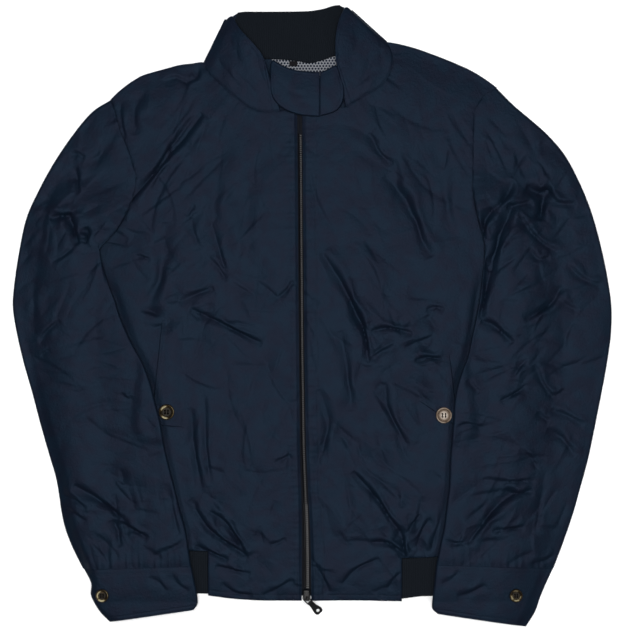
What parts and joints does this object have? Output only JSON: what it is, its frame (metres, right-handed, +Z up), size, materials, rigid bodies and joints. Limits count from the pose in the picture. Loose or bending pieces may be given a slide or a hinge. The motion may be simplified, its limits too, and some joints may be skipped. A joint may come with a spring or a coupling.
{
  "type": "bomber jacket",
  "caption": "Lightweight zipped blouson with a stand collar, throat tab, buttoned slanted pockets, cuffs and a ribbed hem, laid flat on its back.",
  "frame": {"origin": "middle of the laid jacket's outline, on the surface that it lies on", "axes": "+Z up from that surface, towards the fronts; +Y from the hem to the collar; +X towards the wearer's left"},
  "size_m": [0.7175, 0.7478, 0.0159],
  "materials": {
    "shell": "navy plain-weave nylon with a soft satin sheen",
    "rib_knit": "matte near-black navy rib knit",
    "mesh_lining": "matte grey open mesh",
    "label": "matte black woven tape",
    "zip_tape": "matte navy woven tape",
    "zip_metal": "dull antique metal",
    "dark_metal": "dark plated, semi-gloss",
    "dark_horn": "glossy dark brown horn with pale streaks",
    "pale_horn": "glossy cream and brown horn"
  },
  "bodies": {
    "garment": {"back": "shell", "front_right": "shell", "front_left": "shell", "sleeve_right": "shell", "sleeve_left": "shell", "cuff_right": "shell", "cuff_left": "shell", "collar": "shell", "throat_tab": "shell", "throat_tab_end": "shell", "pocket_flap_right": "shell", "pocket_flap_left": "shell", "hem_rib": "rib_knit", "collar_facing": "rib_knit", "neck_lining": "mesh_lining", "size_label": "label", "zip_tape_right": "zip_tape", "zip_tape_left": "zip_tape", "zip_chain": "zip_metal", "zip_slider": "dark_metal", "button_pocket_right": "dark_horn", "button_pocket_left": "pale_horn", "button_cuff_right": "dark_horn", "button_cuff_left": "dark_horn"},
    "pull": {"zip_pull": "dark_metal"}
  },
  "joints": [
    {"name": "pull_hinge", "type": "hinge", "parent": "garment", "child": "pull", "pos_m": [-0.0072, -0.3382, 0.0104], "axis": [-0.7396, -0.673, 0], "range_deg": [0, 200]}
  ]
}
